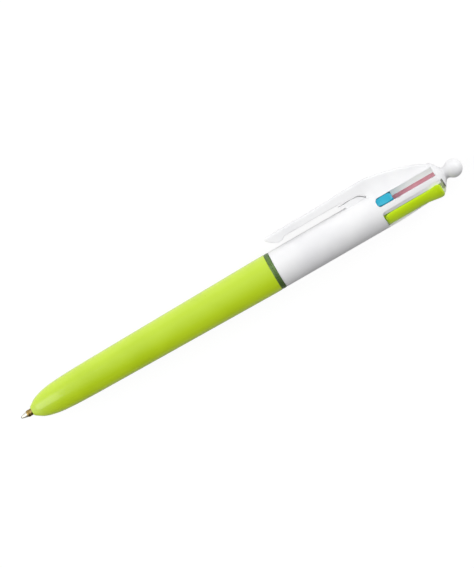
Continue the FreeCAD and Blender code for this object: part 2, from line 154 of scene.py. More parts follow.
across = math.cos(ROLL) * out - math.sin(ROLL) * side
facing = math.sin(ROLL) * out + math.cos(ROLL) * side
level = math.cos(TOWARDS) * along - math.sin(TOWARDS) * facing
towards = math.sin(TOWARDS) * along + math.cos(TOWARDS) * facing
right = math.cos(RISE) * level - math.sin(RISE) * across
up = math.sin(RISE) * level + math.cos(RISE) * across
target = PEN @ Vector((AIM_X, 0, 0)) + MM * (AIM_RIGHT * right + AIM_UP * up)

camera_data = bpy.data.cameras.new("camera")
camera_data.sensor_fit = "VERTICAL"
camera_data.sensor_height = SENSOR
camera_data.lens = SENSOR * CAMERA_FAR / (VIEW_HEIGHT * MM)
camera_data.clip_end = 10
camera = bpy.data.objects.new("camera", camera_data)
facing_turn = Matrix((right, up, towards)).transposed().to_4x4()
camera.matrix_world = Matrix.Translation(target + CAMERA_FAR * towards) @ facing_turn
scene.collection.objects.link(camera)
scene.camera = camera
print("lens", round(camera_data.lens), "mm")

# %% [markdown]
# ## Nodes by name
# A material is a small graph. These helpers add one node and fill its sockets: a plain
# value is typed in, and another node's output is linked. They keep each finish short
# enough to read.

# %% Helpers for material nodes
def fill(tree, socket, value):
    """Type a plain value into a socket, or link another node's output to it."""
    if isinstance(value, bpy.types.NodeSocket):
        tree.links.new(value, socket)
    else:
        socket.default_value = value


def add(tree, kind, settings=None, **inputs):
    """Add one shader node; an input is a plain value or another node's output."""
    node = tree.nodes.new("ShaderNode" + kind)
    for key, value in (settings or {}).items():
        setattr(node, key, value)
    for key, value in inputs.items():
        fill(tree, node.inputs[key.replace("_", " ")], value)
    return node


def sums(tree, operation, first, second):
    """Output of a math node on two values or sockets."""
    node = add(tree, "Math", {"operation": operation})
    for socket, value in zip(node.inputs, (first, second)):
        fill(tree, socket, value)
    return node.outputs[0]


def blank(name):
    """New material with an empty graph and its output node."""
    material = bpy.data.materials.new(name + "_finish")
    material.use_nodes = True
    tree = material.node_tree
    tree.nodes.clear()
    return material, tree, add(tree, "OutputMaterial")


def shade(red, green, blue):
    """Screen colour from 0 to 255 as the linear colour that Blender works with."""
    parts = [v / 255 for v in (red, green, blue)]
    return (*[p / 12.92 if p <= 0.04045 else ((p + 0.055) / 1.055) ** 2.4 for p in parts], 1.0)


# %% [markdown]
# ## Table and light
# A large soft lamp hangs over the nose, one stands beyond the tail and a low one behind
# the clip. The sky is brightest on the clip's side and at both ends, so the upper side of
# every round piece is bright and its lower side falls away to a soft grey.
# The table is white to the camera, through Light Path. In reflections and to bounced light
# it is bright beyond the clip and dark on the near side, as if a dark card lay there, so it
# doesn't fill in that shading. A little of the camera's white is a real diffuse surface,
# which keeps the pen's shadow.

# %% Table
TABLE_BOUNCE = 0.95       # grey of the table beyond the clip, for bounced light
TABLE_BOUNCE_NEAR = 0.32  # and on the near side
TABLE_MIRRORED = 0.9      # its brightness in reflections, on the same two sides
TABLE_MIRRORED_NEAR = 0.1
TABLE_BLEND = 0.02        # metres from the pen's axis to where each side is reached
TABLE_GLOW = 0.9          # its brightness to the camera
TABLE_SHADOWED = 0.16     # the diffuse part on top, which takes the shadow
TABLE_HALF = 2.0
floor_height = cad_box[0][2]

floor_mesh = bpy.data.meshes.new("table")
shape = bmesh.new()
bmesh.ops.create_grid(shape, x_segments=1, y_segments=1, size=TABLE_HALF)
bmesh.ops.translate(shape, verts=shape.verts, vec=(0, 0, floor_height))
shape.to_mesh(floor_mesh)
shape.free()
floor = bpy.data.objects.new("table", floor_mesh)
scene.collection.objects.link(floor)

floor_material, tree, output = blank("white_table")
spot = add(tree, "SeparateXYZ", Vector=add(tree, "NewGeometry").outputs["Position"])
bounced = add(tree, "MapRange", Value=spot.outputs["Y"], From_Min=-TABLE_BLEND,
              From_Max=TABLE_BLEND, To_Min=TABLE_BOUNCE_NEAR, To_Max=TABLE_BOUNCE)
grey = add(tree, "BsdfDiffuse", Color=bounced.outputs[0])
path = tree.nodes.new("ShaderNodeLightPath")
mirrored = add(tree, "MapRange", Value=spot.outputs["Y"], From_Min=-TABLE_BLEND,
               From_Max=TABLE_BLEND, To_Min=TABLE_MIRRORED_NEAR, To_Max=TABLE_MIRRORED)
glowing = add(tree, "Mix", {"data_type": "FLOAT"}, Factor=path.outputs["Is Camera Ray"],
              A=mirrored.outputs[0], B=TABLE_GLOW).outputs[0]
glow = add(tree, "Emission", Strength=glowing)
soft = add(tree, "BsdfDiffuse", Color=(TABLE_SHADOWED, TABLE_SHADOWED, TABLE_SHADOWED, 1))
white = tree.nodes.new("ShaderNodeAddShader")
tree.links.new(glow.outputs[0], white.inputs[0])
tree.links.new(soft.outputs[0], white.inputs[1])
seen = sums(tree, "MAXIMUM", path.outputs["Is Camera Ray"], path.outputs["Is Glossy Ray"])
seen = sums(tree, "MAXIMUM", seen, path.outputs["Is Transmission Ray"])
chosen = add(tree, "MixShader", Fac=seen)
tree.links.new(grey.outputs[0], chosen.inputs[1])
tree.links.new(white.outputs[0], chosen.inputs[2])
tree.links.new(chosen.outputs[0], output.inputs["Surface"])
floor_mesh.materials.append(floor_material)

# %% Lamps and sky
SKY_BRIGHT = 0.55         # strength of the sky on the clip's side
SKY_DARK_AT = -0.5        # how far a direction leans to that side where the sky is dark
SKY_FULL_AT = 0.7         # and where it is at full strength
SKY_ENDS = 1.15           # what the sky gains towards both ends of the pen
LAMP_AIM_X = 70           # station that the lamps look at
LAMP_FAR = 0.9
NOSE_POWER = 3.5
TAIL_POWER = 3.4
EDGE_POWER = 0.65

scene.view_settings.view_transform = "Standard"
world = bpy.data.worlds.new("studio")
scene.world = world
world.use_nodes = True
tree = world.node_tree
backdrop = tree.nodes["Background"]
backdrop.inputs["Color"].default_value = (1, 1, 1, 1)
path = tree.nodes.new("ShaderNodeLightPath")
way = add(tree, "SeparateXYZ", Vector=add(tree, "TexCoord").outputs["Generated"])
clip_side = add(tree, "MapRange", Value=way.outputs["Y"], From_Min=SKY_DARK_AT,
                From_Max=SKY_FULL_AT, To_Min=0.0, To_Max=SKY_BRIGHT)
ends = sums(tree, "MULTIPLY", way.outputs["X"], way.outputs["X"])
ends = sums(tree, "MULTIPLY", ends, SKY_ENDS)
room = sums(tree, "ADD", clip_side.outputs[0], ends)
strength = add(tree, "Mix", {"data_type": "FLOAT"}, Factor=path.outputs["Is Camera Ray"],
               A=room, B=1.0).outputs[0]
tree.links.new(strength, backdrop.inputs["Strength"])


def lamp(name, way, wide, high, power):
    """Soft lamp that looks at the pen from a direction; its wide side lies along the pen."""
    data = bpy.data.lights.new(name, "AREA")
    data.shape = "RECTANGLE"
    data.size = wide
    data.size_y = high
    data.energy = power
    made = bpy.data.objects.new(name, data)
    back = Vector(way).normalized()
    cross = Vector((1, 0, 0)).cross(back).normalized()
    frame_of_lamp = Matrix((-back.cross(cross), cross, back)).transposed().to_4x4()
    place = PEN @ Vector((LAMP_AIM_X, 0, 0)) + LAMP_FAR * back
    made.matrix_world = Matrix.Translation(place) @ frame_of_lamp
    scene.collection.objects.link(made)


lamp("over_the_nose", (-0.68, 0.37, 0.62), 0.9, 0.9, NOSE_POWER)
lamp("beyond_the_tail", (1, 0.5, 0.2), 0.6, 0.6, TAIL_POWER)
lamp("behind_the_clip", (0, 0.94, 0.34), 1.2, 1.0, EDGE_POWER)
print("lamps", NOSE_POWER, TAIL_POWER, EDGE_POWER, "W, sky", SKY_BRIGHT, "and", SKY_ENDS)

# %% [markdown]
# ## Effects shared by the finishes
# Moulded plastic is never one flat colour: the melt flows and cools unevenly, so it is a
# little deeper here and paler there, its gloss wanders, and its skin has a very fine
# texture. Handling adds thin scuffs that run along the pen. Lathe-turned metal has fine
# rings. The inside of the white barrel gets a painted glow, an even emission that lifts
# the shade in its slots whatever the lamps do. Each effect is a node group, used with its
# own numbers.

# %% Node group helpers
def group(name, inputs, outputs):
    """Empty node group with named float or colour sockets."""
    tree = bpy.data.node_groups.new(name, "ShaderNodeTree")
    for label, kind, value in inputs:
        socket = tree.interface.new_socket(label, in_out="INPUT", socket_type="NodeSocket" + kind)
        socket.default_value = value
    for label, kind in outputs:
        tree.interface.new_socket(label, in_out="OUTPUT", socket_type="NodeSocket" + kind)
    return tree, tree.nodes.new("NodeGroupInput"), tree.nodes.new("NodeGroupOutput")


def use(tree, made, **inputs):
    """Place a node group in a material."""
    return add(tree, "Group", {"node_tree": made}, **inputs)


def mixed(tree, share, first, second):
    """Output of a colour mix."""
    node = add(tree, "Mix", {"data_type": "RGBA"})
    sockets = (node.inputs[0], node.inputs[6], node.inputs[7])
    for socket, value in zip(sockets, (share, first, second)):
        fill(tree, socket, value)
    return node.outputs[2]


# %% Moulded skin
skin, given, result = group(
    "moulded_skin",
    [("Colour", "Color", (1, 1, 1, 1)), ("Deeper", "Color", (0.8, 0.8, 0.8, 1)),
     ("Flow Size", "Float", 90.0), ("Gloss", "Float", 0.3), ("Unevenness", "Float", 0.1)],
    [("Colour", "Color"), ("Roughness", "Float"), ("Height", "Float")])
place = skin.nodes.new("ShaderNodeTexCoord").outputs["Object"]
flow = add(skin, "TexNoise", Vector=place, Scale=given.outputs["Flow Size"], Detail=3.0)
flowed = add(skin, "MapRange", Value=flow.outputs["Fac"], From_Min=0.42, From_Max=0.68)
patchy = add(skin, "TexNoise", Vector=place, Scale=700.0, Detail=2.0)
wander = sums(skin, "MULTIPLY", sums(skin, "SUBTRACT", patchy.outputs["Fac"], 0.5),
              given.outputs["Unevenness"])
fine = add(skin, "TexNoise", Vector=place, Scale=5200.0, Detail=2.0)
skin.links.new(mixed(skin, flowed.outputs[0], given.outputs["Colour"], given.outputs["Deeper"]),
               result.inputs["Colour"])
skin.links.new(sums(skin, "ADD", given.outputs["Gloss"], wander), result.inputs["Roughness"])
skin.links.new(fine.outputs["Fac"], result.inputs["Height"])

# %% Handling scuffs
scuffs, given, result = group(
    "handling_scuffs", [("Density", "Float", 0.5)], [("Mask", "Float")])
place = scuffs.nodes.new("ShaderNodeTexCoord").outputs["Object"]
stretched = add(scuffs, "Mapping", Vector=place, Scale=(140.0, 3400.0, 3400.0))
thin = add(scuffs, "TexNoise", Vector=stretched.outputs[0], Scale=1.0, Detail=1.0)
lines = add(scuffs, "MapRange", Value=thin.outputs["Fac"], From_Min=0.66, From_Max=0.74)
handled = add(scuffs, "TexNoise", Vector=place, Scale=60.0, Detail=1.0)
spread = add(scuffs, "MapRange", Value=handled.outputs["Fac"], From_Min=0.45, From_Max=0.7)
worn = sums(scuffs, "MULTIPLY", lines.outputs[0], spread.outputs[0])
scuffs.links.new(sums(scuffs, "MULTIPLY", worn, given.outputs["Density"]), result.inputs["Mask"])

# %% Lathe rings
lathe, given, result = group(
    "lathe_rings", [("Spacing", "Float", 4000.0)], [("Height", "Float"), ("Tone", "Float")])
place = lathe.nodes.new("ShaderNodeTexCoord").outputs["Object"]
rings = add(lathe, "TexWave", {"wave_type": "BANDS", "bands_direction": "X"}, Vector=place,
            Scale=given.outputs["Spacing"], Distortion=0.6, Detail=1.0)
tarnish = add(lathe, "TexNoise", Vector=place, Scale=1400.0, Detail=3.0)
lathe.links.new(rings.outputs["Fac"], result.inputs["Height"])
lathe.links.new(tarnish.outputs["Fac"], result.inputs["Tone"])

# %% Painted glow inside the white barrel
# Painted glow: an even emission on the white plastic inside the barrel, ahead of the sliders'
# backs, which lifts the shade in the slots whatever the lamps do.
GLOW_INSIDE_R = 4.9       # millimetres from the axis: nearer in than this, the painted glow starts
GLOW_SOFT = 0.7           # depth over which the glow grows to full
PAINTED_GLOW_STRENGTH = 0.18
GLOW_FULL_TO = 0.1        # millimetres behind the sliders where it starts to fade
GLOW_GONE_AT = 0.5
axis_at = PEN @ Vector((0, 0, 0))
painted_inner_glow, given, result = group("painted_inner_glow", [], [("Glow", "Color")])
flat = add(painted_inner_glow, "VectorMath", {"operation": "MULTIPLY"})
painted_inner_glow.links.new(painted_inner_glow.nodes.new("ShaderNodeTexCoord").outputs["Object"],
                     flat.inputs[0])
flat.inputs[1].default_value = (0, 1, 1)
far = add(painted_inner_glow, "VectorMath", {"operation": "DISTANCE"})
painted_inner_glow.links.new(flat.outputs[0], far.inputs[0])
far.inputs[1].default_value = (0, axis_at.y, axis_at.z)
inside = add(painted_inner_glow, "MapRange", Value=far.outputs["Value"],
             From_Min=GLOW_INSIDE_R * MM, From_Max=(GLOW_INSIDE_R - GLOW_SOFT) * MM,
             To_Min=0.0, To_Max=PAINTED_GLOW_STRENGTH)
station = add(painted_inner_glow, "SeparateXYZ",
              Vector=painted_inner_glow.nodes["Texture Coordinate"].outputs["Object"])
before_end = add(painted_inner_glow, "MapRange", Value=station.outputs["X"],
                 From_Min=(PEN @ Vector((SLIDER_BACK + GLOW_GONE_AT, 0, 0))).x,
                 From_Max=(PEN @ Vector((SLIDER_BACK + GLOW_FULL_TO, 0, 0))).x)
painted_inner_glow.links.new(sums(painted_inner_glow, "MULTIPLY", inside.outputs[0], before_end.outputs[0]),
                     result.inputs["Glow"])
print("shared effects:", [g.name for g in bpy.data.node_groups])

# %% [markdown]
# ## Plastic finishes
# The two barrels and the sliders are glossy moulded plastic. The shader's own numbers,
# such as the coat's, are typed on its sockets, and only what changes over the surface
# comes from the groups.

# %% Moulded plastic
def plastic(name, colour, deeper, gloss=0.3, grain=0.02, scuffed=0.3, flow=90.0, coat=0.0,
            clear=0.0, flat=0.0, painted_glow_inside=False):
    """Moulded plastic: flow marks, wandering gloss, fine skin and handling scuffs."""
    material, tree, output = blank(name)
    look = use(tree, skin, Colour=colour, Deeper=deeper, Flow_Size=flow, Gloss=gloss)
    marks = use(tree, scuffs, Density=scuffed)
    dulled = sums(tree, "ADD", look.outputs["Roughness"],
                  sums(tree, "MULTIPLY", marks.outputs["Mask"], 0.25))
    paler = mixed(tree, sums(tree, "MULTIPLY", marks.outputs["Mask"], 0.12),
                  look.outputs["Colour"], (0.9, 0.9, 0.88, 1))
    bump = add(tree, "Bump", Height=look.outputs["Height"], Strength=grain, Distance=0.00004)
    shader = add(tree, "BsdfPrincipled", Base_Color=paler, Roughness=dulled,
                 Normal=bump.outputs[0], Coat_Weight=coat, Coat_Roughness=0.12,
                 Transmission_Weight=clear, Diffuse_Roughness=flat)
    # Painted glow: the inside of the barrel gets an even emission, not light from the lamps.
    if painted_glow_inside:
        shader.inputs["Emission Strength"].default_value = 1.0
        tree.links.new(use(tree, painted_inner_glow).outputs["Glow"], shader.inputs["Emission Color"])
    tree.links.new(shader.outputs[0], output.inputs["Surface"])
    return material


FINISH = {
    "lime_shell": plastic("lime_shell", shade(204, 229, 40), shade(198, 224, 31), 0.3,
                          coat=0.8, flat=1.0),
    # The white plastic carries the painted glow inside the barrel.
    "white_shell": plastic("white_shell", shade(240, 240, 241), shade(233, 233, 235), 0.38,
                           painted_glow_inside=True),
    "insert_plastic": plastic("insert_plastic", shade(222, 222, 218), shade(208, 208, 204),
                              0.55, grain=0.15, scuffed=0.6),
    "turquoise_plastic": plastic("turquoise_plastic", shade(40, 176, 206),
                                 shade(14, 156, 188), 0.26),
    "lime_plastic": plastic("lime_plastic", shade(217, 253, 34), shade(210, 247, 22), 0.32,
                            coat=0.4),
    "pink_plastic": plastic("pink_plastic", shade(255, 184, 200), shade(252, 168, 188), 0.34),
    "purple_plastic": plastic("purple_plastic", shade(132, 84, 176), shade(118, 70, 164), 0.32),
    "tube_plastic": plastic("tube_plastic", shade(228, 230, 226), shade(214, 217, 212), 0.4,
                            clear=0.35),
    "turquoise_ink": plastic("turquoise_ink", shade(10, 120, 160), shade(6, 96, 134), 0.15),
    "lime_ink": plastic("lime_ink", shade(126, 178, 20), shade(106, 158, 12), 0.15),
    "pink_ink": plastic("pink_ink", shade(200, 50, 110), shade(176, 36, 92), 0.15),
    "purple_ink": plastic("purple_ink", shade(72, 28, 122), shade(56, 18, 100), 0.15),
}
print("plastic finishes:", len(FINISH))

# %% [markdown]
# ## Metal finishes
# The ring is plated and polished. Its dark green colour is a painted reflection of the lime
# barrel, and it is only partly metallic, which keeps its lower side from going dark. The tip
# holder is turned brass and the point is turned steel, so both carry fine lathe rings and a
# trace of tarnish.

# %% Turned and polished metal
def metal(name, colour, tarnish_or_painted_tone, gloss, spacing=4000.0, depth=0.1, bare=1.0):
    """Turned metal: fine rings about the pen's axis, an uneven tone, and a share left bare."""
    material, tree, output = blank(name)
    turned = use(tree, lathe, Spacing=spacing)
    tone = mixed(tree, turned.outputs["Tone"], colour, tarnish_or_painted_tone)
    rough = sums(tree, "ADD", gloss, sums(tree, "MULTIPLY", turned.outputs["Tone"], 0.12))
    bump = add(tree, "Bump", Height=turned.outputs["Height"], Strength=depth, Distance=0.00003)
    shader = add(tree, "BsdfPrincipled", Base_Color=tone, Roughness=rough, Metallic=bare,
                 Normal=bump.outputs[0])
    tree.links.new(shader.outputs[0], output.inputs["Surface"])
    return material


FINISH |= {
    # The ring's two greens are a painted reflection of the lime barrel, not the plated metal's own
    # colour.
    "ring_metal": metal("ring_metal", shade(108, 138, 78), shade(78, 106, 52), 0.22, 2600.0,
                        0.05, bare=0.45),
    "tip_brass": metal("tip_brass", shade(190, 164, 100), shade(138, 108, 52), 0.24),
    "point_steel": metal("point_steel", shade(246, 243, 228), shade(206, 202, 186), 0.24),
    "ball_carbide": metal("ball_carbide", shade(150, 150, 154), shade(112, 112, 116), 0.12),
    "spring_steel": metal("spring_steel", shade(192, 194, 198), shade(140, 142, 146), 0.28,
                          9000.0),
}
for made in nodes.values():
    slot = made.material_slots[0]
    slot.material = FINISH[slot.material.name]
print("finishes:", len(FINISH))

# %% [markdown]
# ## Helpers for shapes
# Most pieces of a pen come off a lathe or out of a round mould, so an outline spun about
# the axis makes them. The clip and the sliders change their section along the pen, so
# they are lofted: one ring of vertices is extruded again and again, and each new ring is
# moved onto its own section. Every shape is drawn upright in millimetres, and `PEN` puts
# the finished mesh in its place.

# %% Outlines
def smooth(points, steps=6):
    """Points on a soft curve that passes through all the given ones."""
    spots = [Vector(p) for p in points]
    padded = [2 * spots[0] - spots[1], *spots, 2 * spots[-1] - spots[-2]]
    curve = []
    for a, b, c, d in zip(padded, padded[1:], padded[2:], padded[3:]):
        for step in range(steps):
            t = step / steps
            curve.append(0.5 * (2 * b + (c - a) * t + (2 * a - 5 * b + 4 * c - d) * t ** 2
                                + (3 * b - a - 3 * c + d) * t ** 3))
    return [tuple(p) for p in curve] + [tuple(spots[-1])]


def rounded(corners, steps=5):
    """Open outline through (x, r, rounding) corners, each one softened by its rounding."""
    spots = [Vector(corner[:2]) for corner in corners]
    outline = [tuple(spots[0])]
    for before, here, after, corner in zip(spots, spots[1:], spots[2:], corners[1:]):
        if not corner[2]:
            outline.append(tuple(here))
            continue
        start = here + (before - here).normalized() * corner[2]
        end = here + (after - here).normalized() * corner[2]
        for step in range(steps + 1):
            t = step / steps
            outline.append(tuple((1 - t) ** 2 * start + 2 * t * (1 - t) * here + t ** 2 * end))
    return outline + [tuple(spots[-1])]


# %% Spinning and lofting
TOUCHING = 1e-4           # millimetres


def spin(shape, outline, steps=96):
    """Add an outline of (x, radius) points, spun about the pen's axis. Returns its vertices."""
    verts = [shape.verts.new((x, 0, radius)) for x, radius in outline]
    edges = [shape.edges.new(pair) for pair in zip(verts, verts[1:])]
    old = set(shape.verts) - set(verts)
    bmesh.ops.spin(shape, geom=verts + edges, cent=(0, 0, 0), axis=(1, 0, 0),
                   angle=2 * math.pi, steps=steps, use_merge=True)
    made = [v for v in shape.verts if v not in old]
    bmesh.ops.remove_doubles(shape, verts=made, dist=TOUCHING)
    return [v for v in shape.verts if v not in old]


def loft(shape, rings):
    """Add a skin through rings of points that all have the same count, capped at both ends."""
    index = shape.verts.layers.int.get("index") or shape.verts.layers.int.new("index")
    made = bmesh.ops.create_circle(shape, segments=len(rings[0]), radius=1.0)["verts"]
    for number, vert in enumerate(made):
        vert[index] = number
        vert.co = rings[0][number]
    edges = list({edge for vert in made for edge in vert.link_edges})
    first = edges
    everything = list(made)
    for ring in rings[1:]:
        grown = bmesh.ops.extrude_edge_only(shape, edges=edges)["geom"]
        new = {item for item in grown if isinstance(item, bmesh.types.BMVert)}
        edges = [item for item in grown if isinstance(item, bmesh.types.BMEdge)
                 and item.verts[0] in new and item.verts[1] in new]
        for vert in new:
            vert.co = ring[vert[index]]
        everything += new
    bmesh.ops.contextual_create(shape, geom=first)
    bmesh.ops.contextual_create(shape, geom=edges)
    return everything


def piece(name, shape, body, slot, stands_for=(), sharp=38):
    """Put a finished shape on the pen: its place, finish, body and what it replaces.

    A piece that spans two bodies has no body of its own, so it is given None and is left
    unattached. Normals are made to agree, and turned if they all point inwards.
    """
    bmesh.ops.transform(shape, matrix=PEN, verts=shape.verts)
    bmesh.ops.recalc_face_normals(shape, faces=shape.faces)
    if shape.calc_volume(signed=True) < 0:
        bmesh.ops.reverse_faces(shape, faces=shape.faces)
    mesh = bpy.data.meshes.new(name)
    shape.to_mesh(mesh)
    shape.free()
    mesh.shade_smooth()
    mesh.set_sharp_from_angle(angle=math.radians(sharp))
    mesh.materials.append(FINISH[slot])
    made = bpy.data.objects.new(name, mesh)
    scene.collection.objects.link(made)
    if body:
        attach(made, body)
    if stands_for:
        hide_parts(*stands_for)
    print(name, len(mesh.polygons), "faces")
    return made


# %% [markdown]
# ## Lime barrel
# The lower barrel is one moulded tube: a blunt nose with a hole for the tip, a long slow
# taper that grows towards the ring, and a straight band to grip. Its inside matters too,
# because the barrel unscrews: a bore, a ledge, and the wide mouth that takes the thread.
# One outline runs down the outside and back up the inside, and a spin turns it into a
# closed shell.

# %% Lime barrel
NOSE_R = 1.45
NOSE_HOLE_R = 1.25
NOSE_HOLE_LENGTH = 2.2
MOUTH_R = INSERT_R + 0.06      # running fit of the thread
MOUTH_LENGTH = 10.4
LEDGE = 0.4
BORE_X, BORE_R = 14.5, 3.9     # where the straight bore starts to narrow to the nose
SOFT_END = 0.3                 # straight wall before the mouth's rim
skin_line = smooth([
    (NOSE_X, NOSE_R), (1.0, 2.16), (2.2, 2.93), (3.6, 3.5), (5.4, 3.98), (7.7, 4.38),
    (10.5, 4.63), (14.5, 4.83), (20, 4.97), (30, 5.12), (45, 5.33), (60, 5.53),
    (72, 5.7), (78, BARREL_R), (LOWER_END - SOFT_END, BARREL_R)])
mouth = rounded([
    (LOWER_END - SOFT_END, BARREL_R, 0), (LOWER_END, BARREL_R, 0.22),
    (LOWER_END, MOUTH_R, 0.12), (LOWER_END - MOUTH_LENGTH, MOUTH_R, 0.1),
    (LOWER_END - MOUTH_LENGTH, MOUTH_R - LEDGE, 0.1), (BORE_X, BORE_R, 0)])
bore = smooth([(BORE_X, BORE_R), (10.6, 3.6), (7.0, 3.05), (4.2, 2.05),
               (NOSE_HOLE_LENGTH, NOSE_HOLE_R)])
nose_hole = rounded([(NOSE_HOLE_LENGTH, NOSE_HOLE_R, 0), (NOSE_X, NOSE_HOLE_R, 0.1),
                     (NOSE_X, NOSE_R, 0)])
shape = bmesh.new()
spin(shape, skin_line + mouth[1:] + bore[1:] + nose_hole[1:])
piece("lime_barrel", shape, "lower_barrel", "lime_shell", ["lower_barrel"])

# %% [markdown]
# ## Ring and threaded insert
# The plated ring has a slightly crowned face between two fine grooves, which break its
# reflection into a bright and a dark line. The insert behind it carries the thread, a
# low ridge wound round a plain tube. A spin that also moves along the axis draws that
# ridge: the same operator, with a little travel per step.

# %% Ring
GROOVE = 0.07
RING_RIM = 0.1            # how much lower the ring's two rims lie than its face
RING_LIP = 0.02
RING_BORE_R = INSERT_R + 0.05


def ring_x(share):
    """Station at a share of the ring's width."""
    return RING_FRONT + share * (RING_BACK - RING_FRONT)


shape = bmesh.new()
spin(shape, rounded([
    (RING_FRONT, RING_BORE_R, 0), (RING_FRONT, RING_R - RING_RIM, 0.08),
    (ring_x(0.18), RING_R - RING_LIP, 0.03), (ring_x(0.24), RING_R - GROOVE, 0.03),
    (ring_x(0.3), RING_R, 0.03), (ring_x(0.7), RING_R, 0.03),
    (ring_x(0.76), RING_R - GROOVE, 0.03), (ring_x(0.82), RING_R - RING_LIP, 0.03),
    (RING_BACK, RING_R - RING_RIM, 0.08), (RING_BACK, RING_BORE_R, 0),
    (RING_FRONT, RING_BORE_R, 0)], steps=3))
piece("joint_ring_plated", shape, "joint_ring", "ring_metal", ["joint_ring"])

# %% Threaded insert
THREAD_PITCH = 2.5
THREAD_HEIGHT = 0.22
TURNS = 3.4
TURN_CUTS = 48            # steps in one turn of the ridge
INSERT_WALL = 0.6
INSERT_BORE_R = INSERT_R - INSERT_WALL
core = INSERT_R - THREAD_HEIGHT
land = INSERT_FRONT + TURNS * THREAD_PITCH + 1.0
shape = bmesh.new()
spin(shape, rounded([
    (INSERT_FRONT, INSERT_BORE_R, 0), (INSERT_FRONT, core, 0.15), (land, core, 0.05),
    (land, INSERT_R, 0.08), (INSERT_BACK, INSERT_R, 0.1), (INSERT_BACK, INSERT_BORE_R, 0),
    (INSERT_FRONT, INSERT_BORE_R, 0)], steps=3))
RIDGE_FOOT, RIDGE_TOP = 0.35, 0.12     # half widths of the ridge
RIDGE_SUNK = 0.02
ridge_start = INSERT_FRONT + 0.5
profile = [(ridge_start - RIDGE_FOOT, core - RIDGE_SUNK), (ridge_start - RIDGE_TOP, INSERT_R),
           (ridge_start + RIDGE_TOP, INSERT_R), (ridge_start + RIDGE_FOOT, core - RIDGE_SUNK)]
verts = [shape.verts.new((x, 0, radius)) for x, radius in profile]
edges = [shape.edges.new(pair) for pair in zip(verts, verts[1:] + verts[:1])]
bmesh.ops.spin(shape, geom=verts + edges, cent=(0, 0, 0), axis=(1, 0, 0),
               dvec=(THREAD_PITCH / TURN_CUTS, 0, 0), angle=2 * math.pi * TURNS,
               steps=round(TURNS * TURN_CUTS))
bmesh.ops.holes_fill(shape, edges=[e for e in shape.edges if e.is_boundary], sides=4)
piece("threaded_insert_wound", shape, "upper_barrel", "insert_plastic", ["threaded_insert"])

# %% [markdown]
# ## White upper barrel
# Slots, ribs and guide fins make this the most intricate moulding of the pen, and the CAD
# already has them right. What it lacks is the soft edge that a mould leaves. So a copy of
# its mesh is merged, its flat faces are joined, and a very fine bevel rounds its outward
# edges. In the tightest corners a bevel can throw a point off the surface, so any point
# that strayed is set back on the CAD's skin.

# %% White upper barrel
SOFT_EDGE = 0.05
SAME_SPOT = 0.02          # millimetres within which two vertices are one
FLAT = math.radians(0.6)
CORNER = math.radians(55)
STRAYED = 0.45            # share of the soft edge that a point may leave the skin by
shape = bmesh.new()
shape.from_mesh(nodes["upper_barrel"].data)
bmesh.ops.transform(shape, matrix=UPRIGHT, verts=shape.verts)
bmesh.ops.remove_doubles(shape, verts=shape.verts, dist=SAME_SPOT)
bmesh.ops.dissolve_limit(shape, angle_limit=FLAT, verts=shape.verts, edges=shape.edges)
cad_skin = BVHTree.FromBMesh(shape)
corners = [e for e in shape.edges if e.is_convex and e.calc_face_angle(0) > CORNER]
bmesh.ops.bevel(shape, geom=corners, offset=SOFT_EDGE, affect="EDGES", segments=2,
                profile=0.5, clamp_overlap=False, material=-1)
for vert in shape.verts:
    nearest, _, _, distance = cad_skin.find_nearest(vert.co)
    if distance > STRAYED * SOFT_EDGE:
        vert.co = nearest
white = piece("white_barrel", shape, "upper_barrel", "white_shell", ["upper_barrel"], sharp=50)
weighted = white.modifiers.new("weighted_normals", "WEIGHTED_NORMAL")
weighted.keep_sharp = True
weighted.weight = 100

# %% [markdown]
# ## Clip and canopy
# The clip is a bar with round shoulders that hangs over the barrel, and at its root it
# widens into a canopy that runs out over the slots. On the real pen they are one
# moulding, so here they are one mesh across the joint, attached to neither body. Each
# section is half a ring of points: along the floor, round the lower corner, up the side,
# over the shoulder, to the middle of the crest. Its mirror image closes the ring. Under the
# arm the floor is the clip's underside; under the canopy it follows the barrel, sunk a
# little into the wall.

# %% Lines along the clip
CLIP_ROUND = 0.9
CLIP_SLOT_TOP = 3.66
SUNK = 0.1
HEEL_X = BEND - 0.7            # behind this station the clip stands on the barrel
UNDERSIDE = CLIP_TOP - 3.0
CREST_CLEAR = 0.03             # keeps the rolled clip's crest inside the CAD's box
TAPER_X = 121.0                # behind this station the white head narrows
HEAD_END, HEAD_R = 137.2, 5.0


def along_line(points, x):
    """Value at station x on a line through (x, value) points."""
    for (x0, v0), (x1, v1) in zip(points, points[1:]):
        if x <= x1:
            return v0 + (v1 - v0) * max(0.0, (x - x0) / (x1 - x0))
    return points[-1][1]


def line(points, steps=8):
    """Soft line through (x, value) points, ready for along_line."""
    return smooth(points, steps)


